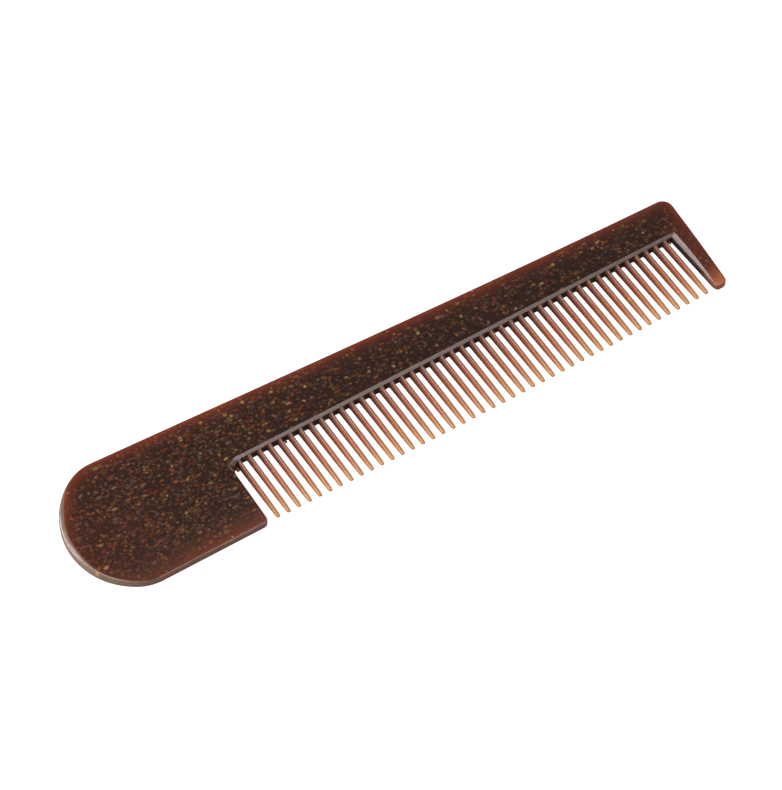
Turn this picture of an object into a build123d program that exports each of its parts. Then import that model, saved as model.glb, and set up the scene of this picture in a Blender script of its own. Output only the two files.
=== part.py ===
from build123d import *
import math
import os

# Beard comb, moulded in one piece: a flat round-ended handle, a long back, a
# row of fine teeth and a broad guard tooth that closes the row at the far end.
# The moulding is split into named regions that meet face to face.
#
# Millimetres, +Z up. The comb lies flat: X runs along the row of teeth towards
# the guard tooth, Y from the tooth tips towards the back. While the shapes are
# built, X = 0 is the middle of the row and Y = 0 the middle of a tooth, with
# Z = 0 half way through the thickness. At the end everything is moved so that
# the origin is the bottom centre of the whole comb's box.

# ---- driving dimensions ----
PITCH = 2.4  # from one tooth to the next
TEETH = 44
THICK = 2.9  # handle and back
ROOT_Y = 8.06  # the wall that the teeth grow from
TAPER = 0.00229  # the faces fall away below ROOT_Y by TAPER * distance squared

END_X, END_Y = -74.4, 7.44  # centre of the handle's round end
END_R = 16.27
BLEND_R = 9.36  # softer arcs where the round end meets the two long edges
HANDLE_LOW_Y = -7.70
HANDLE_WALL_X = -54.0  # the handle's straight side, facing the first tooth
HANDLE_CORNER_R = 1.2

# back edge, very slightly bowed
BACK = [
    (-57.6, 21.91),
    (-38.4, 20.93),
    (-19.2, 19.98),
    (0.0, 19.09),
    (19.2, 18.30),
    (38.4, 17.64),
]
BACK_LEFT = (-76.8, 22.88)
BACK_SLOPE_LEFT = -0.0498
BACK_RIGHT = (55.9, 17.17)
BACK_SLOPE_RIGHT = -0.0225

GUARD_IN_TOP_X, GUARD_IN_LOW_X = 53.33, 53.86
GUARD_OUT_TOP = (58.22, 17.1)
GUARD_OUT_LOW_X = 56.57
GUARD_LOW_Y = -7.45
GUARD_TOP_R = 2.4
GUARD_TIP_R_IN, GUARD_TIP_R_OUT = 0.85, 1.2
GUARD_ROOT_R = 0.9

RAIL_WALL = 1.82  # height of the wall between the two root bevels
RAIL_BEVEL = 0.62  # width of the bevel in plan
GUARD_BEVEL = 0.95
ROOT_CORNER_R = 3.1  # inside corner between the handle's side and the root
EDGE_R = 0.35  # rounding of the outer edges

# one tooth, drafted so it is broad below and narrow above: (distance along the
# tooth from root 0 to tip 1, half width low down, half width on top, half height)
TOOTH = [
    (0.000, 0.65, 0.19, 0.905),
    (0.300, 0.57, 0.22, 0.850),
    (0.560, 0.53, 0.26, 0.730),
    (0.800, 0.50, 0.30, 0.540),
    (0.930, 0.48, 0.31, 0.400),
    (0.975, 0.45, 0.29, 0.340),
    (1.000, 0.27, 0.16, 0.190),
]
TIP_Y = -8.03  # tip of the middle teeth
TIP_BOW = 0.62  # the end teeth are this much shorter than the middle ones

H = THICK / 2


def half_height(y):
    """Half thickness of the comb at this Y."""
    return H - TAPER * max(0.0, ROOT_Y - y) ** 2


# ---- outline in plan ----
low_c = (
    END_X - math.sqrt((END_R - BLEND_R) ** 2 - (END_Y - HANDLE_LOW_Y - BLEND_R) ** 2),
    HANDLE_LOW_Y + BLEND_R,
)


def on_end_circle(centre):
    """Where a blend arc with this centre touches the round end."""
    dx, dy = centre[0] - END_X, centre[1] - END_Y
    d = math.hypot(dx, dy)
    return (END_X + END_R * dx / d, END_Y + END_R * dy / d)


def on_arc(centre, radius, a, b):
    """Point half way round the arc from a to b."""
    mx, my = (a[0] + b[0]) / 2 - centre[0], (a[1] + b[1]) / 2 - centre[1]
    d = math.hypot(mx, my)
    return (centre[0] + radius * mx / d, centre[1] + radius * my / d)


# centre of the upper blend: BLEND_R below the back edge's line
nx, ny = -BACK_SLOPE_LEFT, 1.0
nl = math.hypot(nx, ny)
nx, ny = nx / nl, ny / nl
lo, hi = -30.0, 10.0
for _ in range(80):
    t = (lo + hi) / 2
    cx = BACK_LEFT[0] + t - BLEND_R * nx
    cy = BACK_LEFT[1] + t * BACK_SLOPE_LEFT - BLEND_R * ny
    if math.hypot(cx - END_X, cy - END_Y) > END_R - BLEND_R:
        lo = t
    else:
        hi = t
high_c = (cx, cy)
high_touch = (cx + BLEND_R * nx, cy + BLEND_R * ny)
low_touch = (low_c[0], HANDLE_LOW_Y)
low_join, high_join = on_end_circle(low_c), on_end_circle(high_c)

corner = HANDLE_CORNER_R
with BuildSketch() as plan:
    with BuildLine():
        Line((HANDLE_WALL_X - corner, HANDLE_LOW_Y), low_touch)
        ThreePointArc(low_touch, on_arc(low_c, BLEND_R, low_touch, low_join), low_join)
        ThreePointArc(low_join, (END_X - END_R, END_Y), high_join)
        ThreePointArc(
            high_join, on_arc(high_c, BLEND_R, high_join, high_touch), high_touch
        )
        Spline(
            [high_touch, *BACK, BACK_RIGHT],
            tangents=[(1, BACK_SLOPE_LEFT), (1, BACK_SLOPE_RIGHT)],
        )
        Line(BACK_RIGHT, GUARD_OUT_TOP)
        Line(GUARD_OUT_TOP, (GUARD_OUT_LOW_X, GUARD_LOW_Y))
        Line((GUARD_OUT_LOW_X, GUARD_LOW_Y), (GUARD_IN_LOW_X, GUARD_LOW_Y))
        Line((GUARD_IN_LOW_X, GUARD_LOW_Y), (GUARD_IN_TOP_X, ROOT_Y))
        Line((GUARD_IN_TOP_X, ROOT_Y), (HANDLE_WALL_X + ROOT_CORNER_R, ROOT_Y))
        ThreePointArc(
            (HANDLE_WALL_X + ROOT_CORNER_R, ROOT_Y),
            (
                HANDLE_WALL_X + ROOT_CORNER_R * (1 - math.sqrt(0.5)),
                ROOT_Y - ROOT_CORNER_R * (1 - math.sqrt(0.5)),
            ),
            (HANDLE_WALL_X, ROOT_Y - ROOT_CORNER_R),
        )
        Line((HANDLE_WALL_X, ROOT_Y - ROOT_CORNER_R), (HANDLE_WALL_X, HANDLE_LOW_Y + corner))
        ThreePointArc(
            (HANDLE_WALL_X, HANDLE_LOW_Y + corner),
            (
                HANDLE_WALL_X - corner * (1 - math.sqrt(0.5)),
                HANDLE_LOW_Y + corner * (1 - math.sqrt(0.5)),
            ),
            (HANDLE_WALL_X - corner, HANDLE_LOW_Y),
        )
    make_face()

blank = extrude(plan.sketch, H + 1, both=True)


def upright(x, y):
    """The blank's vertical edge at this plan point."""
    return min(
        blank.edges().filter_by(Axis.Z),
        key=lambda e: math.hypot(e.center().X - x, e.center().Y - y),
    )


for x, y, r in (
    (*GUARD_OUT_TOP, GUARD_TOP_R),
    (GUARD_OUT_LOW_X, GUARD_LOW_Y, GUARD_TIP_R_OUT),
    (GUARD_IN_LOW_X, GUARD_LOW_Y, GUARD_TIP_R_IN),
    (GUARD_IN_TOP_X, ROOT_Y, GUARD_ROOT_R),
):
    blank = fillet(upright(x, y), r)

# ---- thickness: flat faces on the back, falling away towards the tips ----
low_y = -9.0
mid_y = (ROOT_Y + low_y) / 2
with BuildSketch(Plane.YZ) as side:
    with BuildLine():
        Line((26, H), (ROOT_Y, H))
        ThreePointArc(
            (ROOT_Y, H), (mid_y, half_height(mid_y)), (low_y, half_height(low_y))
        )
        Line((low_y, half_height(low_y)), (low_y, -half_height(low_y)))
        ThreePointArc(
            (low_y, -half_height(low_y)), (mid_y, -half_height(mid_y)), (ROOT_Y, -H)
        )
        Line((ROOT_Y, -H), (26, -H))
        Line((26, -H), (26, H))
    make_face()
lens = extrude(side.sketch, 120, both=True)
body = (blank & lens).solids()[0]

# ---- bevels along the root of the teeth and down the guard tooth ----
wall = RAIL_WALL / 2
far = 4.0
k = far / RAIL_BEVEL
section = [
    (0.0, wall),
    (far, wall + (H - wall) * k),
    (-1.0, wall + (H - wall) * k),
    (-1.0, wall),
]


def bevel_tool(sign):
    """Cutter for the bevel along the straight root and round its left corner."""
    pts = [(u, sign * z) for u, z in section]
    x0 = HANDLE_WALL_X + ROOT_CORNER_R
    straight_plane = Plane(origin=(x0, ROOT_Y, 0), x_dir=(0, 1, 0), z_dir=(1, 0, 0))
    face = straight_plane * make_face(Polyline(*pts, close=True))
    straight = extrude(face, GUARD_IN_TOP_X + 0.6 - x0, dir=(1, 0, 0))
    axis = Axis((x0, ROOT_Y - ROOT_CORNER_R, 0), (0, 0, 1))
    turned = revolve(face, axis, 90)
    return straight, turned


def guard_tool(sign):
    """Cutter for the bevel down the guard tooth's inner side."""
    run = Vector(GUARD_IN_LOW_X - GUARD_IN_TOP_X, GUARD_LOW_Y - ROOT_Y, 0)
    length = run.length + 6
    run = run.normalized()
    out = Vector(-run.Y, run.X, 0)
    if out.X < 0:
        out = out * -1
    kk = far / GUARD_BEVEL
    pts = [
        (0.0, sign * wall),
        (far, sign * (wall + (H - wall) * kk)),
        (-1.5, sign * (wall + (H - wall) * kk)),
        (-1.5, sign * wall),
    ]
    start = Vector(GUARD_IN_TOP_X, ROOT_Y, 0) - run * RAIL_BEVEL
    pl = Plane(origin=start, x_dir=out, z_dir=out.cross(Vector(0, 0, 1)))
    face = pl * make_face(Polyline(*pts, close=True))
    return extrude(face, length, dir=run)


for sign in (1, -1):
    for tool in bevel_tool(sign):
        body = (body - tool).solids()[0]
    body = (body - guard_tool(sign)).solids()[0]

print("body volume", round(body.volume, 1), "faces", len(body.faces()))

# ---- round the outer edges ----
def outer(e):
    """True for an edge of the outer outline on the top or bottom face: end, back and guard."""
    c = e @ 0.5
    if abs(abs(c.Z) - half_height(c.Y)) > 0.02:
        return False
    if abs(c.Y - ROOT_Y) < 0.01 and abs((e @ 0).Y - (e @ 1).Y) < 0.01:
        return False
    low = c.Y < ROOT_Y + RAIL_BEVEL + 0.5
    return not (low and HANDLE_WALL_X - 0.9 < c.X < GUARD_OUT_LOW_X + 0.23)


to_round = [e for e in body.edges() if outer(e)]
rounded = body.fillet(EDGE_R, to_round)
print("rounded edges", len(to_round), "volume", round(body.volume, 1), "to", round(rounded.volume, 1))
if rounded.is_valid and len(rounded.solids()) == 1 and rounded.volume < body.volume:
    body = rounded.solids()[0]

# ---- split the moulding into its regions ----
# The handle ends just inside the rounded root corner, and the guard where it
# leaves the back, so each region is a simple block for its collision pieces.
SEAM_X = HANDLE_WALL_X + 0.6
GUARD_SEAM_Y = ROOT_Y - 0.46


def box(x0, x1, y0, y1):
    return Pos((x0 + x1) / 2, (y0 + y1) / 2, 0) * Box(x1 - x0, y1 - y0, 10)


handle = body & box(-120, SEAM_X, -20, 40)
rest = body & box(SEAM_X, 120, -20, 40)
guard_region = box(GUARD_IN_TOP_X - 1.2, 120, -20, GUARD_SEAM_Y)
end_guard = rest & guard_region
back = rest - guard_region

# ---- teeth ----
def tooth(index):
    x = (index - (TEETH - 1) / 2) * PITCH
    tip = TIP_Y + TIP_BOW * (x / ((TEETH - 1) / 2 * PITCH)) ** 2
    start = ROOT_Y
    sections = []
    for s, low, top, b in TOOTH:
        y = start + (tip - start) * s
        pts = [
            (top, b),
            (low, -b + 0.12),
            (low - 0.1, -b),
            (-low + 0.1, -b),
            (-low, -b + 0.12),
            (-top, b),
        ]
        pl = Plane(origin=(x, y, 0), x_dir=(1, 0, 0), z_dir=(0, -1, 0))
        sections.append(pl * make_face(Polyline(*[(u, v) for u, v in pts], close=True)))
    return loft(sections, ruled=True)


teeth = []
for i in range(TEETH):
    one = tooth(i).solids()[0]
    if i == 0:
        # the first tooth stands partly in the rounded root corner
        one = (one - back).solids()[0]
    teeth.append(one)

# ---- the comb's own frame: bottom centre of its box ----
whole = Compound(children=[*handle.solids(), *back.solids(), *end_guard.solids(), *teeth])
bb = whole.bounding_box()
shift = Pos(-(bb.min.X + bb.max.X) / 2, -(bb.min.Y + bb.max.Y) / 2, H)
print("box", bb.size, "shift", shift.position)

os.makedirs("parts", exist_ok=True)
for name, solids in (
    ("handle", handle.solids()),
    ("back", back.solids()),
    ("end_guard", end_guard.solids()),
    ("teeth", teeth),
):
    placed = [shift * s for s in solids]
    shape = placed[0] if len(placed) == 1 else Compound(placed)
    export_step(shape, f"parts/{name}.step")
    print(name, len(placed), "solids", round(sum(s.volume for s in placed), 1), "mm3")
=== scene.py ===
import math
import random

import bmesh
import bpy
import numpy as np
from mathutils import Matrix, Vector
from mathutils.geometry import delaunay_2d_cdt


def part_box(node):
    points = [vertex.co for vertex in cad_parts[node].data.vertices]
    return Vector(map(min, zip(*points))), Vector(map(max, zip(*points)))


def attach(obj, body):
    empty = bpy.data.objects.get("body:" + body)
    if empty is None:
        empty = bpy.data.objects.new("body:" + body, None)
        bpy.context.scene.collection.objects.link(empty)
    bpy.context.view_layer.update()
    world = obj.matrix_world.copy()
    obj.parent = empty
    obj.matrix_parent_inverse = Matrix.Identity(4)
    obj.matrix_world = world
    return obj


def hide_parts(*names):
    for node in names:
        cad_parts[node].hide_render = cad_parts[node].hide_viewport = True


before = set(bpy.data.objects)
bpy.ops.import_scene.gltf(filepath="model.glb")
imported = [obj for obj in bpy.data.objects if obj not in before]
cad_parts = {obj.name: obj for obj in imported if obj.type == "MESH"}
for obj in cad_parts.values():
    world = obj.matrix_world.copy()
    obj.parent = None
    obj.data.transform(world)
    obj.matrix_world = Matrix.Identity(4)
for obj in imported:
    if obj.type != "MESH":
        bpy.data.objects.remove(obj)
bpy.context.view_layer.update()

MM = 0.001

# ---------------------------------------------------------------- dimensions
# The same driving dimensions as the CAD model, in millimetres: X along the row
# of teeth, Y from the tips towards the back, Z from the middle of the thickness.
PITCH, TEETH, THICK, ROOT_Y, TAPER = 2.4, 44, 2.9, 8.06, 0.00229
END_X, END_Y, END_R, BLEND_R = -74.4, 7.44, 16.27, 9.36
HANDLE_LOW_Y, HANDLE_WALL_X, HANDLE_CORNER_R = -7.70, -54.0, 1.2
BACK = [(-57.6, 21.91), (-38.4, 20.93), (-19.2, 19.98), (0.0, 19.09), (19.2, 18.30), (38.4, 17.64)]
BACK_LEFT, BACK_SLOPE_LEFT = (-76.8, 22.88), -0.0498
BACK_RIGHT, BACK_SLOPE_RIGHT = (55.9, 17.17), -0.0225
GUARD_IN_TOP_X, GUARD_IN_LOW_X = 53.33, 53.86
GUARD_OUT_TOP, GUARD_OUT_LOW_X, GUARD_LOW_Y = (58.22, 17.1), 56.57, -7.45
GUARD_TOP_R, GUARD_TIP_R_IN, GUARD_TIP_R_OUT = 2.4, 0.85, 1.2
RAIL_WALL, RAIL_BEVEL, GUARD_BEVEL, ROOT_CORNER_R, EDGE_R = 1.82, 0.62, 0.95, 3.1, 0.38
TIP_Y, TIP_BOW = -8.03, 0.62
H = THICK / 2

lo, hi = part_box("handle")
SHIFT_X = lo.x / MM - (END_X - END_R)
SHIFT_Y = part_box("teeth")[0].y / MM - TIP_Y
SHIFT_Z = H


def half_height(y):
    return H - TAPER * np.maximum(0.0, ROOT_Y - np.asarray(y, float)) ** 2


def to_row(p):
    """Comb coordinates in millimetres to the row frame in metres."""
    p = np.asarray(p, float).reshape(-1, 3)
    return (p + [SHIFT_X, SHIFT_Y, SHIFT_Z]) * MM


# ------------------------------------------------------------------- outline
def arc(c, r, a0, a1, step):
    n = max(2, int(math.ceil(abs(a1 - a0) * r / step)))
    return [(c[0] + r * math.cos(a0 + (a1 - a0) * i / n), c[1] + r * math.sin(a0 + (a1 - a0) * i / n)) for i in range(n + 1)]


def line(a, b, step):
    n = max(1, int(math.ceil(math.dist(a, b) / step)))
    return [(a[0] + (b[0] - a[0]) * i / n, a[1] + (b[1] - a[1]) * i / n) for i in range(n + 1)]


def corner(prev, at, nxt, r, step):
    """Round the corner at `at` with radius r; returns the points of the arc."""
    a, p, b = Vector(prev), Vector(at), Vector(nxt)
    u, v = (a - p).normalized(), (b - p).normalized()
    half = u.angle(v) / 2
    d = r / math.tan(half)
    s, e = p + u * d, p + v * d
    c = p + (u + v).normalized() * (r / math.sin(half))
    a0 = math.atan2(s.y - c.y, s.x - c.x)
    a1 = math.atan2(e.y - c.y, e.x - c.x)
    while a1 - a0 > math.pi:
        a1 -= 2 * math.pi
    while a1 - a0 < -math.pi:
        a1 += 2 * math.pi
    return arc((c.x, c.y), r, a0, a1, step)


def hermite(p0, p1, m0, m1, n):
    out = []
    for i in range(n + 1):
        t = i / n
        h00, h10 = 2 * t**3 - 3 * t**2 + 1, t**3 - 2 * t**2 + t
        h01, h11 = -2 * t**3 + 3 * t**2, t**3 - t**2
        dx = p1[0] - p0[0]
        out.append((p0[0] + dx * t, h00 * p0[1] + h10 * dx * m0 + h01 * p1[1] + h11 * dx * m1))
    return out


nx, ny = -BACK_SLOPE_LEFT, 1.0
nl = math.hypot(nx, ny)
nx, ny = nx / nl, ny / nl
a, b = -30.0, 10.0
for _ in range(80):
    t = (a + b) / 2
    hx = BACK_LEFT[0] + t - BLEND_R * nx
    hy = BACK_LEFT[1] + t * BACK_SLOPE_LEFT - BLEND_R * ny
    if math.hypot(hx - END_X, hy - END_Y) > END_R - BLEND_R:
        a = t
    else:
        b = t
low_c = (END_X - math.sqrt((END_R - BLEND_R) ** 2 - (END_Y - HANDLE_LOW_Y - BLEND_R) ** 2), HANDLE_LOW_Y + BLEND_R)
a_low = math.atan2(low_c[1] - END_Y, low_c[0] - END_X)
a_high = math.atan2(hy - END_Y, hx - END_X)
high_touch = (hx + BLEND_R * nx, hy + BLEND_R * ny)

pieces2d = []  # (kind, points) counter-clockwise seen from above


def add(kind, pts):
    pieces2d.append((kind, pts))


# back edge right to left
knots = [high_touch, *BACK, BACK_RIGHT]
slopes = [BACK_SLOPE_LEFT]
for i in range(1, len(knots) - 1):
    slopes.append((knots[i + 1][1] - knots[i - 1][1]) / (knots[i + 1][0] - knots[i - 1][0]))
slopes.append(BACK_SLOPE_RIGHT)
back_pts = []
for i in range(len(knots) - 1):
    n = max(2, int((knots[i + 1][0] - knots[i][0]) / 1.0))
    seg = hermite(knots[i], knots[i + 1], slopes[i], slopes[i + 1], n)
    back_pts += seg if not back_pts else seg[1:]
back_pts = back_pts[::-1]
top_vertex = (GUARD_OUT_TOP[0], BACK_RIGHT[1] + BACK_SLOPE_RIGHT * (GUARD_OUT_TOP[0] - BACK_RIGHT[0]))
top_corner = corner((GUARD_OUT_LOW_X, GUARD_LOW_Y), top_vertex, (0, BACK_RIGHT[1] + BACK_SLOPE_RIGHT * (0 - BACK_RIGHT[0])), GUARD_TOP_R, 0.3)
back_pts = [p for p in back_pts if p[0] < top_corner[-1][0] - 0.3]
tip_out = corner((GUARD_IN_LOW_X, GUARD_LOW_Y), (GUARD_OUT_LOW_X, GUARD_LOW_Y), GUARD_OUT_TOP, GUARD_TIP_R_OUT, 0.12)
tip_in = corner((GUARD_IN_TOP_X, ROOT_Y), (GUARD_IN_LOW_X, GUARD_LOW_Y), (GUARD_OUT_LOW_X, GUARD_LOW_Y), GUARD_TIP_R_IN, 0.12)
root_right = [(GUARD_IN_TOP_X, ROOT_Y)]
c0 = HANDLE_CORNER_R
root_c = (HANDLE_WALL_X + ROOT_CORNER_R, ROOT_Y - ROOT_CORNER_R)

add("end", arc((HANDLE_WALL_X - c0, HANDLE_LOW_Y + c0), c0, 0, -math.pi / 2, 0.12))
add("end", line((HANDLE_WALL_X - c0, HANDLE_LOW_Y), (low_c[0], HANDLE_LOW_Y), 0.8))
add("end", arc(low_c, BLEND_R, -math.pi / 2, a_low, 0.55))
add("end", arc((END_X, END_Y), END_R, a_low, a_high - 2 * math.pi if a_high > 0 else a_high, 0.55))
add("end", arc((hx, hy), BLEND_R, a_high, math.atan2(ny, nx), 0.55))
add("end", back_pts[::-1])
add("end", top_corner[::-1])
add("end", line(top_corner[0], tip_out[-1], 0.7))
add("end", tip_out[::-1])
add("end", line(tip_out[0], tip_in[-1], 0.3))
add("tip", tip_in[::-1])
add("guard", line(tip_in[0], root_right[0], 0.35))
add("rail", line(root_right[0], (root_c[0], ROOT_Y), 0.6))
add("rail", arc(root_c, ROOT_CORNER_R, math.pi / 2, math.pi * 0.80, 0.16))
add("side", arc(root_c, ROOT_CORNER_R, math.pi * 0.80, math.pi, 0.16))
add("side", line((HANDLE_WALL_X, root_c[1]), (HANDLE_WALL_X, HANDLE_LOW_Y + c0), 0.6))

pts, kinds = [], []
for kind, seg in pieces2d:
    for p in seg:
        if pts and math.dist(p, pts[-1]) < 0.02:
            continue
        pts.append(p)
        kinds.append(kind)
if math.dist(pts[0], pts[-1]) < 0.02:
    pts.pop(), kinds.pop()
P = np.array(pts)
area = 0.5 * np.sum(P[:, 0] * np.roll(P[:, 1], -1) - np.roll(P[:, 0], -1) * P[:, 1])
if area < 0:
    P, kinds = P[::-1].copy(), kinds[::-1]
N = len(P)
T = np.roll(P, -1, 0) - np.roll(P, 1, 0)
T /= np.linalg.norm(T, axis=1)[:, None]
INWARD = np.c_[-T[:, 1], T[:, 0]]  # interior lies to the left

# bevel weight and width round the outline
s_len = np.r_[0, np.cumsum(np.linalg.norm(np.diff(P, axis=0), axis=1))]
is_bevel = np.array([k in ("rail", "guard") for k in kinds], float)
is_side = np.array([k == "side" for k in kinds], float)


def smooth_ring(w, reach):
    total = s_len[-1] + np.linalg.norm(P[0] - P[-1])
    out = np.zeros(N)
    for i in range(N):
        d = np.abs(s_len - s_len[i])
        d = np.minimum(d, total - d)
        k = np.clip(1 - d / reach, 0, None)
        out[i] = (k * w).sum() / k.sum()
    return out


weight = smooth_ring(is_bevel, 0.5)
width = np.full(N, EDGE_R)
for i, k in enumerate(kinds):
    if k == "rail":
        width[i] = RAIL_BEVEL
    elif k in ("guard", "tip"):
        width[i] = max(0.10, GUARD_BEVEL * float(half_height(P[i, 1]) - RAIL_WALL / 2) / (H - RAIL_WALL / 2))
for i in range(N):
    if kinds[i] in ("rail", "side") and P[i, 0] < root_c[0]:
        turn = math.atan2(P[i, 1] - root_c[1], P[i, 0] - root_c[0]) - math.pi / 2
        width[i] = RAIL_BEVEL + 0.55 * min(1.0, max(0.0, turn / 1.0))
width = smooth_ring(width, 0.35)

# The rounding is broader round the far left of the handle end, where a light
# band runs along it, and small everywhere else.
edge_r, edge_d = np.full(N, EDGE_R), np.full(N, EDGE_R)
for i in range(N):
    if P[i, 0] < -74 and kinds[i] == "end":
        az = math.degrees(math.atan2(-INWARD[i, 1], -INWARD[i, 0])) % 360
        g_ = min(1.0, max(0.0, (az - 124) / 24)) * min(1.0, max(0.0, (218 - az) / 44))
        g_ = g_ * g_ * (3 - 2 * g_)
        edge_r[i] += 0.86 * g_
        edge_d[i] += 0.40 * g_
edge_r, edge_d = smooth_ring(edge_r, 1.2), smooth_ring(edge_d, 1.2)

# the two bevels meet in a mitre at the guard's root
mitre = int(np.argmin(np.hypot(P[:, 0] - GUARD_IN_TOP_X, P[:, 1] - ROOT_Y)))
for j in range(1, 4):
    for i, w in ((mitre - j, None), (mitre + j, None)):
        i %= N
        width[i] = GUARD_BEVEL if kinds[i] == "guard" else RAIL_BEVEL
width[mitre] = RAIL_BEVEL
INWARD[mitre] = (GUARD_BEVEL / RAIL_BEVEL, 1.0)

# profile of the edge: (inset, height) from the middle of the wall to the face
FIL = [(1 - math.cos(a), math.sin(a)) for a in np.radians([0, 12, 24, 36, 48, 60, 70, 80, 90])]
BEV = [0.0, 0.05, 0.12, 0.3, 0.5, 0.7, 0.88, 0.95, 1.0]
wall_top = RAIL_WALL / 2
rings = []  # each: (N,3) in comb millimetres, z for the upper half
insets = []


def place(inset, zfun):
    q = P + INWARD * inset[:, None]
    z = np.array([zfun(i, q[i]) for i in range(N)])
    return np.c_[q, z]


for frac in (0.0, 0.55, 0.9):
    def zf(i, q, frac=frac):
        h = float(half_height(q[1]))
        zf_ = (h - edge_d[i]) * frac
        zb_ = (min(wall_top, h - 0.05) - 0.03) * frac if frac < 0.9 else min(wall_top, h - 0.05) - 0.045
        return zf_ * (1 - weight[i]) + zb_ * weight[i]
    rings.append(place(np.zeros(N), zf))
for (fi, fz), bt in zip(FIL, BEV):
    inset_f = edge_r * fi
    inset = inset_f * (1 - weight) + width * bt * weight

    def zf(i, q, fz=fz, bt=bt):
        h = float(half_height(q[1]))
        zfil = h - edge_d[i] + edge_d[i] * fz
        w0 = min(wall_top, h - 0.05)
        zbev = w0 + (h - w0) * bt
        return zfil * (1 - weight[i]) + zbev * weight[i]

    rings.append(place(inset, zf))
last = edge_r * (1 - weight) + width * weight
for extra in (0.05, 0.25):
    rings.append(place(last + extra, lambda i, q: float(half_height(q[1]))))
inner = rings[-1]

# ------------------------------------------------- inside of the broad faces
ring2 = [Vector((float(x), float(y))) for x, y, _ in inner]
gx, gy = [], []
STEP = 0.85
xs = np.arange(P[:, 0].min(), P[:, 0].max(), STEP)
ys = np.arange(P[:, 1].min(), P[:, 1].max(), STEP * 0.9)
ring_np = inner[:, :2]


def inside(x, y, poly):
    c = False
    px, py = poly[:, 0], poly[:, 1]
    qx, qy = np.roll(px, 1), np.roll(py, 1)
    hit = ((py > y) != (qy > y)) & (x < (qx - px) * (y - py) / (qy - py + 1e-12) + px)
    return bool(hit.sum() % 2)


grid = []
for j, y in enumerate(ys):
    for x in xs + (STEP / 2 if j % 2 else 0):
        if inside(x, y, ring_np) and np.min((ring_np[:, 0] - x) ** 2 + (ring_np[:, 1] - y) ** 2) > 0.45**2:
            grid.append(Vector((float(x), float(y))))
cdt = delaunay_2d_cdt(ring2 + grid, [(i, (i + 1) % N) for i in range(N)], [], 1, 1e-5)
cv, cfaces, corig = cdt[0], cdt[2], cdt[3]

verts, faces = [], []
K = len(rings)
for side in (1, -1):
    for k, r in enumerate(rings):
        if side == -1 and k == 0:
            continue
        verts += [(p[0], p[1], side * p[2]) for p in r]


def vid(side, k, i):
    i %= N
    if k == 0:
        return i
    return k * N + i if side == 1 else K * N + (k - 1) * N + i


for side in (1, -1):
    for k in range(K - 1):
        for i in range(N):
            q = [vid(side, k, i), vid(side, k, i + 1), vid(side, k + 1, i + 1), vid(side, k + 1, i)]
            faces.append(q if side == 1 else q[::-1])
base = len(verts)
for side in (1, -1):
    index = {}
    for n, (p, orig) in enumerate(zip(cv, corig)):
        o = [x for x in orig if x < N]
        if o:
            index[n] = vid(side, K - 1, o[0])
        else:
            index[n] = len(verts)
            verts.append((p.x, p.y, side * float(half_height(p.y))))
    for f in cfaces:
        q = [index[v] for v in f]
        faces.append(q if side == 1 else q[::-1])
body_v = np.array(verts)


# ------------------------------------------------------- how thin, how close
def dist_to(poly_mask, q, less=None):
    """Distance in plan from each point to the outline where poly_mask holds, less the rounding there."""
    A, B = P, np.roll(P, -1, 0)
    keep = poly_mask
    A, B = A[keep], B[keep]
    less = np.zeros(len(A)) if less is None else less[keep]
    out = np.full(len(q), 1e9)
    d = B - A
    L = (d**2).sum(1)
    for s in range(0, len(q), 2000):
        c = q[s : s + 2000, None, :2]
        t = np.clip(((c - A) * d).sum(2) / L, 0, 1)
        out[s : s + 2000] = (np.sqrt((((A + t[..., None] * d) - c) ** 2).sum(2)) - less).min(1)
    return out


kinds_np = np.array(kinds)
m_end = kinds_np == "end"
m_side = kinds_np == "side"
m_bevel = (kinds_np == "rail") | (kinds_np == "guard") | (kinds_np == "tip")
d_end = dist_to(m_end, body_v, edge_r)
d_side = dist_to(m_side, body_v)
d_bevel = dist_to(m_bevel, body_v, width)


def make_mesh(name, v, f, attributes):
    me = bpy.data.meshes.new(name)
    me.from_pydata([tuple(p) for p in to_row(v)], [], f)
    me.update()
    for key, values in attributes.items():
        at = me.attributes.new(key, "FLOAT", "POINT")
        at.data.foreach_set("value", np.asarray(values, np.float32))
    for p in me.polygons:
        p.use_smooth = True
    ob = bpy.data.objects.new(name, me)
    bpy.context.scene.collection.objects.link(ob)
    return ob


def copy_part(src, name, planes):
    """A closed copy of src cut by planes (point, normal): what the normal points away from is kept."""
    bm = bmesh.new()
    bm.from_mesh(src.data)
    for co, no in planes:
        res = bmesh.ops.bisect_plane(
            bm, geom=bm.verts[:] + bm.edges[:] + bm.faces[:], dist=1e-7,
            plane_co=to_row([co])[0], plane_no=no, clear_outer=True)
        rim = [e for e in res["geom_cut"] if isinstance(e, bmesh.types.BMEdge)]
        filled = bmesh.ops.edgenet_fill(bm, edges=rim)
        for f in filled["faces"]:
            f.smooth = False
            for e in f.edges:
                e.smooth = False
        bmesh.ops.triangulate(bm, faces=[f for f in filled["faces"]])
        for e in rim:
            if e.is_valid:
                e.smooth = False
    bmesh.ops.recalc_face_normals(bm, faces=bm.faces[:])
    me = bpy.data.meshes.new(name)
    bm.to_mesh(me)
    bm.free()
    ob = bpy.data.objects.new(name, me)
    bpy.context.scene.collection.objects.link(ob)
    return ob


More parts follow.
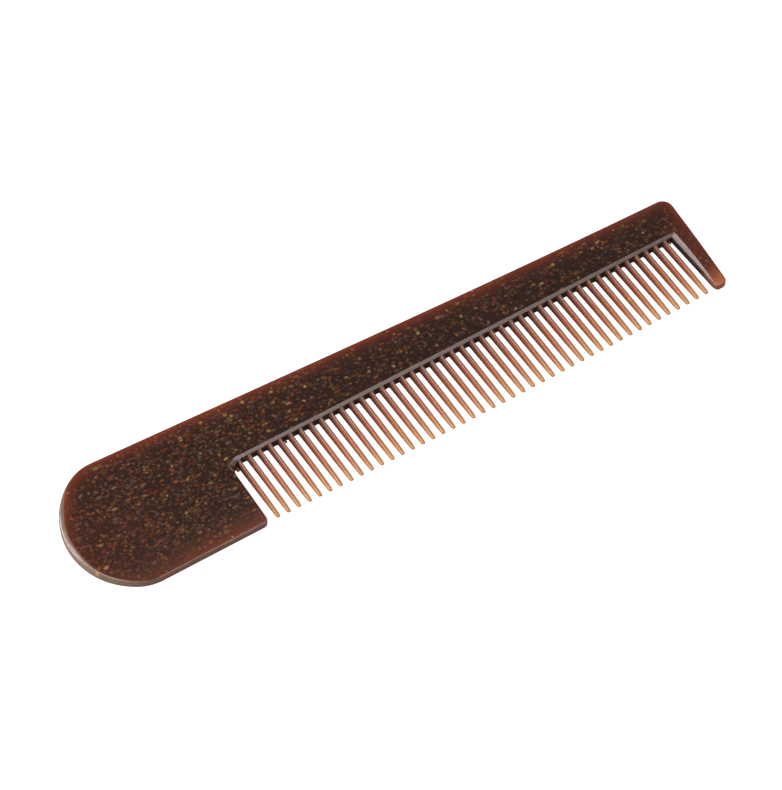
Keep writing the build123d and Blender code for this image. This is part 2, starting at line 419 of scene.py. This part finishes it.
# the mitre and the foot of its wall stay crisp
mitre_verts = {vid(side, k, mitre) for side in (1, -1) for k in range(K)}
whole = make_mesh("comb_whole", body_v, faces, {"edge_mm": d_end, "side_mm": d_side, "bevel_mm": d_bevel})
for e in whole.data.edges:
    if e.vertices[0] in mitre_verts and e.vertices[1] in mitre_verts:
        e.use_edge_sharp = True
SEAM_X, GUARD_SEAM_Y, TILT = -53.4, 7.6, 0.01
gn = Vector((-TILT, 1, 0)).normalized()
handle = copy_part(whole, "handle_paddle", [((SEAM_X, 0, 0), (1, 0, 0))])
back = copy_part(whole, "back_bar", [((SEAM_X, 0, 0), (-1, 0, 0)), ((GUARD_IN_TOP_X, GUARD_SEAM_Y, 0), -gn)])
guard = copy_part(whole, "guard_tooth", [((SEAM_X, 0, 0), (-1, 0, 0)), ((GUARD_IN_TOP_X, GUARD_SEAM_Y, 0), gn)])
bpy.data.objects.remove(whole)

# --------------------------------------------------------------------- teeth
rng = random.Random(44)
# s along the tooth, half width at the bottom, half width on top, half height:
# the teeth are drafted, broad below and narrow above
STATIONS = [
    (-0.012, 0.86, 0.40, 0.93), (0.004, 0.76, 0.30, 0.915), (0.012, 0.69, 0.23, 0.905), (0.025, 0.66, 0.20, 0.90),
    (0.045, 0.65, 0.19, 0.895), (0.10, 0.635, 0.20, 0.88), (0.20, 0.60, 0.21, 0.86), (0.30, 0.57, 0.225, 0.835),
    (0.40, 0.55, 0.24, 0.80), (0.50, 0.535, 0.255, 0.76), (0.60, 0.525, 0.27, 0.70), (0.70, 0.512, 0.285, 0.625),
    (0.78, 0.502, 0.30, 0.555), (0.85, 0.492, 0.31, 0.49), (0.90, 0.484, 0.315, 0.44), (0.935, 0.475, 0.315, 0.405),
    (0.960, 0.462, 0.305, 0.375), (0.976, 0.435, 0.28, 0.345), (0.987, 0.385, 0.235, 0.295), (0.995, 0.30, 0.17, 0.22),
    (0.999, 0.18, 0.09, 0.12),
]


def section(low_, top_, b_):
    """A tooth's cross-section: a six-sided ring with its corners rounded."""
    ring = [(top_, b_), (low_, -b_ * 0.80), (low_ * 0.86, -b_), (-low_ * 0.86, -b_), (-low_, -b_ * 0.80), (-top_, b_)]
    for cut in (0.085, 0.03):
        nxt = []
        for i in range(len(ring)):
            p, q = ring[i], ring[(i + 1) % len(ring)]
            d = math.dist(p, q)
            f_ = min(0.3, cut / max(d, 1e-6))
            nxt.append((p[0] + (q[0] - p[0]) * f_, p[1] + (q[1] - p[1]) * f_))
            nxt.append((q[0] + (p[0] - q[0]) * f_, q[1] + (p[1] - q[1]) * f_))
        ring = nxt
    return ring


RING = 24
tv, tf, ts, tt = [], [], [], []
for n in range(TEETH):
    x0 = (n - (TEETH - 1) / 2) * PITCH
    tip = TIP_Y + TIP_BOW * (x0 / ((TEETH - 1) / 2 * PITCH)) ** 2 + rng.uniform(0, 0.05)
    lean = rng.uniform(-0.03, 0.03)
    lift = rng.uniform(-0.015, 0.015)
    start = len(tv)
    for s, a_, t_, b_ in STATIONS:
        y = ROOT_Y + (tip - ROOT_Y) * s
        cx = x0 + lean * max(0, s) ** 2
        cz = lift * max(0, s) ** 2
        for u, v in section(a_, t_, b_):
            tv.append((cx + u, y, cz + v))
            ts.append(s)
            tt.append(1.0 if v > 0.86 * b_ or v < -0.93 * b_ else 0.0)
    S = len(STATIONS)
    for j in range(S - 1):
        for k in range(RING):
            p, q = start + j * RING + k, start + j * RING + (k + 1) % RING
            tf.append((p, p + RING, q + RING, q))
    tf.append(tuple(start + k for k in range(RING)))
    apex = len(tv)
    tv.append((x0 + lean, tip, lift))
    ts.append(1.0)
    tt.append(0.5)
    e = start + (S - 1) * RING
    for k in range(RING):
        tf.append((e + k, apex, e + (k + 1) % RING))
# thin remnants of flash left in a few gaps: (gap, y, half width, half length, half thickness, side)
for gap, y, fw_, fl_, ft_, dx in ((0, 6.95, 0.42, 0.75, 0.30, 0.10), (5, 7.60, 0.30, 0.55, 0.26, -0.28), (44, 7.75, 0.26, 0.45, 0.24, -0.12)):
    fx = (gap - TEETH / 2) * PITCH + dx
    start = len(tv)
    rows = 6
    for j in range(1, rows):
        th = math.pi * j / rows
        for k in range(12):
            ang = 2 * math.pi * k / 12
            wob = 1 + 0.12 * rng.uniform(-1, 1)
            tv.append((fx + fw_ * math.sin(th) * math.cos(ang) * wob, y - fl_ * math.cos(th), ft_ * math.sin(th) * math.sin(ang) * wob - 0.25))
            ts.append(0.05)
            tt.append(0.0)
    for j in range(rows - 2):
        for k in range(12):
            p, q = start + j * 12 + k, start + j * 12 + (k + 1) % 12
            tf.append((p, q, q + 12, p + 12))
    for row, yy in ((0, y - fl_), (rows - 2, y + fl_)):
        apex = len(tv)
        tv.append((fx, yy, -0.25))
        ts.append(0.05)
        tt.append(0.0)
        e = start + row * 12
        for k in range(12):
            tf.append((e + k, e + (k + 1) % 12, apex))
teeth = make_mesh("comb_teeth", np.array(tv), tf, {"along": ts, "flat": tt})
bm = bmesh.new()
bm.from_mesh(teeth.data)
bmesh.ops.recalc_face_normals(bm, faces=bm.faces[:])
for f in bm.faces:
    if len(f.verts) > 12:
        f.smooth = False
bm.to_mesh(teeth.data)
bm.free()

# ----------------------------------------------------------------- materials
def nodes_of(name):
    m = bpy.data.materials.new(name)
    m.use_nodes = True
    nt = m.node_tree
    nt.nodes.clear()
    out = nt.nodes.new("ShaderNodeOutputMaterial")
    bsdf = nt.nodes.new("ShaderNodeBsdfPrincipled")
    nt.links.new(bsdf.outputs[0], out.inputs[0])
    return m, nt, bsdf


class G:
    """Small helper for building node graphs."""

    def __init__(self, nt):
        self.nt = nt

    def new(self, kind, **props):
        n = self.nt.nodes.new(kind)
        for k, v in props.items():
            setattr(n, k, v)
        return n

    def link(self, a, b):
        self.nt.links.new(a, b)

    def put(self, socket, value):
        if isinstance(value, bpy.types.NodeSocket):
            self.link(value, socket)
        else:
            socket.default_value = value

    def math(self, op, a, b=0.0, c=0.0, clamp=False):
        n = self.new("ShaderNodeMath", operation=op, use_clamp=clamp)
        self.put(n.inputs[0], a)
        self.put(n.inputs[1], b)
        self.put(n.inputs[2], c)
        return n.outputs[0]

    def ramp(self, fac, stops, mode="LINEAR"):
        n = self.new("ShaderNodeValToRGB")
        n.color_ramp.interpolation = mode
        el = n.color_ramp.elements
        while len(el) > 1:
            el.remove(el[-1])
        el[0].position, el[0].color = stops[0][0], (*stops[0][1], 1)
        for p, c in stops[1:]:
            e = el.new(p)
            e.color = (*c, 1)
        self.put(n.inputs[0], fac)
        return n.outputs[0]

    def mix(self, fac, a, b, blend="MIX"):
        n = self.new("ShaderNodeMix", data_type="RGBA", blend_type=blend)
        self.put(n.inputs[0], fac)
        self.put(n.inputs[6], a if isinstance(a, bpy.types.NodeSocket) else (*a, 1))
        self.put(n.inputs[7], b if isinstance(b, bpy.types.NodeSocket) else (*b, 1))
        return n.outputs[2]

    def smooth(self, v, lo_, hi_, a=0.0, b=1.0):
        n = self.new("ShaderNodeMapRange", interpolation_type="SMOOTHSTEP")
        self.put(n.inputs[0], v)
        self.put(n.inputs[1], lo_)
        self.put(n.inputs[2], hi_)
        self.put(n.inputs[3], a)
        self.put(n.inputs[4], b)
        return n.outputs[0]

    def attr(self, name):
        n = self.new("ShaderNodeAttribute", attribute_name=name)
        return n.outputs["Fac"]

    def noise(self, vec, scale, detail=2.0, rough=0.5, color=False):
        n = self.new("ShaderNodeTexNoise")
        self.link(vec, n.inputs["Vector"])
        n.inputs["Scale"].default_value = scale
        n.inputs["Detail"].default_value = detail
        n.inputs["Roughness"].default_value = rough
        return n.outputs["Color"] if color else n.outputs["Fac"]

    def mapping(self, vec, loc=(0, 0, 0), rot=(0, 0, 0), scale=(1, 1, 1)):
        n = self.new("ShaderNodeMapping")
        self.link(vec, n.inputs[0])
        n.inputs["Location"].default_value = loc
        n.inputs["Rotation"].default_value = rot
        n.inputs["Scale"].default_value = scale
        return n.outputs[0]


def srgb(r, g, b):
    return tuple((c / 255 / 12.92) if c / 255 <= 0.04045 else ((c / 255 + 0.055) / 1.055) ** 2.4 for c in (r, g, b))


def flecks(g, obj, density, strength=1.0):
    """Plant flecks and fibres scattered in the plastic: returns (amount, colour) sockets."""
    wobble = g.noise(obj, 900.0, 2.0, 0.6, color=True)
    vm = g.new("ShaderNodeVectorMath", operation="SCALE")
    g.link(wobble, vm.inputs[0])
    vm.inputs["Scale"].default_value = 0.0007
    va = g.new("ShaderNodeVectorMath", operation="ADD")
    g.link(obj, va.inputs[0])
    g.link(vm.outputs[0], va.inputs[1])
    warped = va.outputs[0]
    amount, colour = None, None
    layers = [
        # cells per metre, stretch, turn, size of the fleck in cells, share of cells, brightness
        (1120.0, (1.0, 1.0, 0.7), (0, 0, 0.0), 0.48, 0.85, 1.00),
        (950.0, (0.68, 1.22, 0.7), (0, 0, 0.7), 0.42, 0.65, 0.85),
        (950.0, (0.68, 1.22, 0.7), (0, 0, -0.9), 0.42, 0.60, 0.85),
        (1650.0, (1.0, 1.0, 0.8), (0, 0, 0.4), 0.52, 0.95, 0.60),
    ]
    palette = [
        (0.00, srgb(112, 70, 42)), (0.22, srgb(130, 78, 44)), (0.38, srgb(118, 54, 30)), (0.52, srgb(108, 80, 64)),
        (0.66, srgb(140, 96, 60)), (0.76, srgb(104, 46, 28)), (0.87, srgb(86, 76, 76)), (0.94, srgb(176, 132, 84)),
    ]
    for n, (scale, stretch, turn, size, share, bright) in enumerate(layers):
        vec = g.mapping(warped, loc=(0.013 * n, 0.029 * n, 0.007 * n), rot=turn, scale=stretch)
        vo = g.new("ShaderNodeTexVoronoi", feature="F1", distance="EUCLIDEAN")
        g.link(vec, vo.inputs["Vector"])
        vo.inputs["Scale"].default_value = scale
        vo.inputs["Randomness"].default_value = 1.0
        sep = g.new("ShaderNodeSeparateColor")
        g.link(vo.outputs["Color"], sep.inputs[0])
        # a cell holds a fleck if its first random number is under the density
        present = g.math("LESS_THAN", sep.outputs[0], g.math("MULTIPLY", density, share))
        radius = g.math("MULTIPLY_ADD", sep.outputs[1], size * 0.75, size * 0.45)
        spot = g.smooth(g.math("SUBTRACT", radius, vo.outputs["Distance"]), -0.12, 0.30)
        # most flecks lie deep and dim, a few near the surface are bright
        level = g.math("MULTIPLY_ADD", g.math("POWER", sep.outputs[2], 1.9), 0.92 * bright, 0.16 * bright)
        a_ = g.math("MULTIPLY", g.math("MULTIPLY", present, spot), level)
        pick = g.math("FRACT", g.math("MULTIPLY", g.math("ADD", sep.outputs[1], sep.outputs[2]), 7.31))
        col = g.ramp(pick, palette, "CONSTANT")
        if amount is None:
            amount, colour = a_, col
        else:
            over = g.math("GREATER_THAN", a_, amount)
            colour = g.mix(over, colour, col)
            amount = g.math("MAXIMUM", amount, a_)
    return g.math("MULTIPLY", amount, strength, clamp=True), colour


def body_material():
    m, nt, bsdf = nodes_of("flecked_plastic")
    g = G(nt)
    obj = g.new("ShaderNodeTexCoord").outputs["Object"]
    sep = g.new("ShaderNodeSeparateXYZ")
    g.link(obj, sep.inputs[0])
    x, y = sep.outputs[0], sep.outputs[1]
    edge, side, bevel = g.attr("edge_mm"), g.attr("side_mm"), g.attr("bevel_mm")
    cloud = g.noise(obj, 160.0, 3.0, 0.55)
    # painted glow: light coming in through the edge is painted into the base colour, reddest near the outline
    e2 = g.math("ADD", edge, g.math("MULTIPLY", g.math("SUBTRACT", cloud, 0.5), 1.4))
    base = g.ramp(g.math("DIVIDE", e2, 5.0, clamp=True), [
        (0.00, srgb(106, 46, 30)), (0.08, srgb(93, 41, 27)), (0.20, srgb(76, 35, 24)), (0.40, srgb(56, 29, 22)), (0.66, srgb(43, 26, 20)), (1.0, srgb(37, 23, 18))])
    # the painted glow is strong along the back and weak round the low left end
    painted_glow_weak = g.math("MULTIPLY", g.smooth(x, -0.052, -0.062), g.smooth(y, 0.0100, -0.0010, 0.0, 0.75))
    base = g.mix(painted_glow_weak, base, srgb(50, 28, 22))
    # lower down the plastic is thinner, and painted light coming through it makes it lighter
    base = g.mix(g.smooth(y, -0.0090, -0.0150, 0.0, 0.50), base, srgb(80, 43, 33))
    # the guard tooth: red-brown, and orange at its tip from a painted glow of light through the thin plastic
    on_guard = g.smooth(x, 0.0675, 0.0700)
    base = g.mix(g.math("MULTIPLY", on_guard, g.smooth(y, 0.0065, -0.0010, 0.0, 0.75)), base, srgb(76, 33, 25))
    tip = g.math("MULTIPLY", g.smooth(y, -0.0090, -0.0158), on_guard)
    base = g.mix(tip, base, srgb(160, 86, 46))
    # walls and roundings: a painted greyish reflection, paler round the far left end
    wall = g.smooth(edge, 0.05, -0.35)
    left_end = g.smooth(x, -0.062, -0.074)
    painted_wall_sheen = g.mix(left_end, srgb(106, 74, 61), srgb(112, 90, 77))
    base = g.mix(g.math("MULTIPLY", wall, g.math("SUBTRACT", 1.0, g.math("MULTIPLY", tip, 0.7))), base, painted_wall_sheen)
    # painted shade: darker along the handle's side wall beside the first tooth
    base = g.mix(g.smooth(side, 0.55, 0.30, 0.0, 0.8), base, srgb(48, 26, 20))
    # painted reflection: the bevels are painted greyer
    base = g.mix(g.smooth(bevel, 0.05, -0.10, 0.0, 0.7), base, srgb(102, 76, 64))
    # painted shade: darker at the foot of the bevels, down among the tooth roots and beside the guard
    base = g.mix(g.smooth(bevel, -0.40, -0.60, 0.0, 0.85), base, srgb(44, 21, 17))
    grey = g.noise(obj, 420.0, 3.0, 0.6)
    base = g.mix(g.math("MULTIPLY", g.smooth(grey, 0.45, 0.75), 0.30), base, srgb(44, 28, 24))
    # more flecks in the handle than along the back; few in the glowing edges
    density = g.smooth(x, -0.040, 0.005, 1.0, 0.66)
    inner = g.smooth(g.math("ADD", g.math("MINIMUM", edge, g.math("ADD", bevel, 0.6)), g.math("MULTIPLY", painted_glow_weak, 1.5)), 0.2, 2.6, 0.35, 1.0)
    amount, colour = flecks(g, obj, g.math("MULTIPLY", density, inner), 0.74)
    colr = g.mix(amount, base, colour)
    g.link(colr, bsdf.inputs["Base Color"])
    bsdf.inputs["Roughness"].default_value = 0.22
    bsdf.inputs["IOR"].default_value = 1.49
    bsdf.inputs["Specular IOR Level"].default_value = 0.5
    bump = g.new("ShaderNodeBump")
    bump.inputs["Strength"].default_value = 0.06
    bump.inputs["Distance"].default_value = 0.0002
    g.link(g.noise(obj, 300.0, 3.0, 0.5), bump.inputs["Height"])
    g.link(bump.outputs[0], bsdf.inputs["Normal"])
    return m


def tooth_material():
    m, nt, bsdf = nodes_of("tooth_plastic")
    g = G(nt)
    obj = g.new("ShaderNodeTexCoord").outputs["Object"]
    along = g.attr("along")
    cloud = g.noise(obj, 260.0, 3.0, 0.55)
    s = g.math("ADD", along, g.math("MULTIPLY", g.math("SUBTRACT", cloud, 0.5), 0.22))
    # darker at the root and lighter towards the tip: painted shade down between the roots, and a painted glow of light
    # through the thinner plastic further out
    base = g.ramp(s, [
        (0.00, srgb(90, 43, 31)), (0.10, srgb(112, 53, 35)), (0.35, srgb(138, 69, 43)), (0.70, srgb(157, 90, 54)), (0.92, srgb(174, 116, 70)), (1.0, srgb(180, 126, 80))])
    amount, colour = flecks(g, obj, 0.55, 0.40)
    # the narrow top and bottom lands are painted paler than the flanks: a painted sheen standing in for reflected
    # light
    painted_land_sheen = g.ramp(s, [(0.0, srgb(110, 84, 73)), (0.35, srgb(122, 83, 66)), (0.70, srgb(138, 94, 68)), (1.0, srgb(160, 120, 84))])
    base = g.mix(g.math("MULTIPLY", g.smooth(g.attr("flat"), 0.35, 0.95), 0.80), base, painted_land_sheen)
    colr = g.mix(amount, base, g.mix(0.45, colour, srgb(200, 130, 74)))
    g.link(colr, bsdf.inputs["Base Color"])
    bsdf.inputs["Roughness"].default_value = 0.38
    bsdf.inputs["IOR"].default_value = 1.49
    return m


mat_body, mat_tooth = body_material(), tooth_material()
for ob, node, slot, mat in (
    (handle, "handle", "flecked_plastic", mat_body),
    (back, "back", "flecked_plastic", mat_body),
    (guard, "end_guard", "flecked_plastic", mat_body),
    (teeth, "teeth", "tooth_plastic", mat_tooth),
):
    ob.data.materials.clear()
    ob.data.materials.append(mat)
    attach(ob, "root")
    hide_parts(node)

# ------------------------------------------------------------ floor and light
# The floor is seen white, as in a cut-out product picture, and gives the comb
# itself only a dim bounce.
fm, fnt, fb = nodes_of("pale_floor")
fb.inputs["Base Color"].default_value = (0.30, 0.30, 0.30, 1)
fb.inputs["Roughness"].default_value = 0.8
fb.inputs["Specular IOR Level"].default_value = 0.0
fb.inputs["Emission Color"].default_value = (1, 1, 1, 1)
seen = fnt.nodes.new("ShaderNodeLightPath")
fnt.links.new(seen.outputs["Is Camera Ray"], fb.inputs["Emission Strength"])
fme = bpy.data.meshes.new("floor")
S_ = 1.5
F_ = -0.00003  # a hair below the comb, so the two faces never lie in one plane
fme.from_pydata([(-S_, -S_, F_), (S_, -S_, F_), (S_, S_, F_), (-S_, S_, F_)], [], [(0, 1, 2, 3)])
floor = bpy.data.objects.new("floor", fme)
bpy.context.scene.collection.objects.link(floor)
floor.data.materials.append(fm)

world = bpy.data.worlds.new("studio")
bpy.context.scene.world = world
world.use_nodes = True
world.node_tree.nodes["Background"].inputs[0].default_value = (1, 1, 1, 1)
world.node_tree.nodes["Background"].inputs[1].default_value = 0.10


def softbox(name, direction, distance, width_, height_, level):
    """A soft box of one brightness: level is its radiance, where white paper in full light is about 1."""
    d = Vector(direction).normalized()
    li = bpy.data.lights.new(name, "AREA")
    li.shape = "RECTANGLE"
    li.size, li.size_y = width_, height_
    li.energy = level * math.pi * width_ * height_
    ob = bpy.data.objects.new(name, li)
    ob.location = d * distance
    ob.rotation_euler = (-d).to_track_quat("-Z", "Y").to_euler()
    bpy.context.scene.collection.objects.link(ob)
    return ob


softbox("key_box", (0.75, -0.25, 0.61), 1.0, 0.6, 0.6, 1.4)
softbox("fill_box", (-0.50, -0.32, 0.80), 0.9, 0.5, 0.5, 2.5)
softbox("left_box", (-0.82, -0.12, 0.50), 0.9, 1.1, 0.10, 19.0)
softbox("rear_box", (-0.76, 0.60, 0.25), 0.9, 0.7, 0.26, 14.0)
softbox("front_box", (0.31, -0.60, 0.74), 0.9, 0.45, 0.36, 4.8)
softbox("top_box", (0.32, -0.08, 0.94), 0.9, 0.75, 0.30, 1.6)
softbox("back_box", (-0.52, 0.44, 0.72), 0.9, 0.24, 0.24, 11.0)

# -------------------------------------------------------------------- camera
THETA, PHI = math.radians(32.28), math.radians(54.63)
h_ = Vector((math.sin(THETA), math.cos(THETA), 0))
right = Vector((math.cos(THETA), -math.sin(THETA), 0))
up = h_ * math.sin(PHI) + Vector((0, 0, math.cos(PHI)))
eye = Vector((-243.003 + SHIFT_X, -351.614 + SHIFT_Y, 595.473 + SHIFT_Z)) * MM
cam_data = bpy.data.cameras.new("camera")
cam_data.sensor_width = 36.0
cam_data.lens = 3616.727 * 36.0 / 790.0
cam_data.clip_start = 0.01
cam = bpy.data.objects.new("camera", cam_data)
bpy.context.scene.collection.objects.link(cam)
back_axis = right.cross(up)
cam.matrix_world = Matrix((
    (right.x, up.x, back_axis.x, eye.x),
    (right.y, up.y, back_axis.y, eye.y),
    (right.z, up.z, back_axis.z, eye.z),
    (0, 0, 0, 1)))
bpy.context.scene.camera = cam
bpy.context.scene.view_settings.view_transform = "Standard"
bpy.context.scene.view_settings.look = "None"
